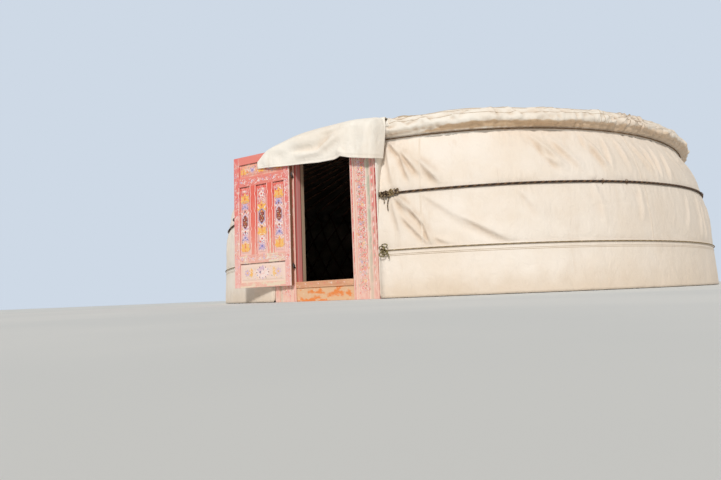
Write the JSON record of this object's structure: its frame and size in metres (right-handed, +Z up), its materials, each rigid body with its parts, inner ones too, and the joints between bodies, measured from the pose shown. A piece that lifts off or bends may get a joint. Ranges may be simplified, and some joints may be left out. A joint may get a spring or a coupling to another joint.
{
  "type": "round felt yurt",
  "caption": "Round felt-covered yurt with a lattice wall, straight roof poles, a crown ring and a panelled wooden door that swings.",
  "frame": {"origin": "centre of the tent on the ground", "axes": "+Z up, -Y out of the doorway, +X to the right seen from the front"},
  "size_m": [6.963, 6.9774, 2.8878],
  "materials": {
    "canvas": "matt",
    "roof_canvas": "matt",
    "rope": "matt",
    "painted_wood": "painted",
    "panel_wood": "painted",
    "bare_wood": "satin",
    "red_wood": "painted",
    "iron": "satin"
  },
  "bodies": {
    "yurt": {"threshold": "bare_wood", "left_jamb": "painted_wood", "right_jamb": "painted_wood", "lintel": "painted_wood", "hinge_pins": "iron", "lattice_1": "bare_wood", "lattice_2": "bare_wood", "lattice_3": "bare_wood", "lattice_4": "bare_wood", "lattice_5": "bare_wood", "lattice_6": "bare_wood", "wall_cover_1": "canvas", "wall_cover_2": "canvas", "wall_cover_3": "canvas", "wall_cover_4": "canvas", "wall_cover_5": "canvas", "wall_cover_6": "canvas", "skirt_1": "canvas", "skirt_2": "canvas", "skirt_3": "canvas", "roof_poles_1": "red_wood", "roof_poles_2": "red_wood", "roof_poles_3": "red_wood", "door_roof_poles": "red_wood", "crown_ring": "red_wood", "crown_spokes": "red_wood", "crown_posts": "red_wood", "crown_cover": "roof_canvas", "roof_cover_1": "roof_canvas", "roof_cover_2": "roof_canvas", "roof_cover_3": "roof_canvas", "roof_cover_4": "roof_canvas", "door_roof_cover": "roof_canvas", "door_flap": "canvas", "edge_strips": "canvas", "top_rope": "rope", "middle_rope": "rope", "low_rope": "rope", "rope_knots": "rope"},
    "door": {"door_stiles": "painted_wood", "door_rails": "painted_wood", "door_muntins": "painted_wood", "door_panels": "panel_wood", "door_hasp": "iron", "hinge_eyes": "iron"}
  },
  "joints": [
    {"name": "door_hinge", "type": "hinge", "parent": "yurt", "child": "door", "pos_m": [-0.368, -3.419, 0], "axis": [0, 0, 1], "range_deg": [0, 176], "deforming": ["door_flap"]}
  ]
}
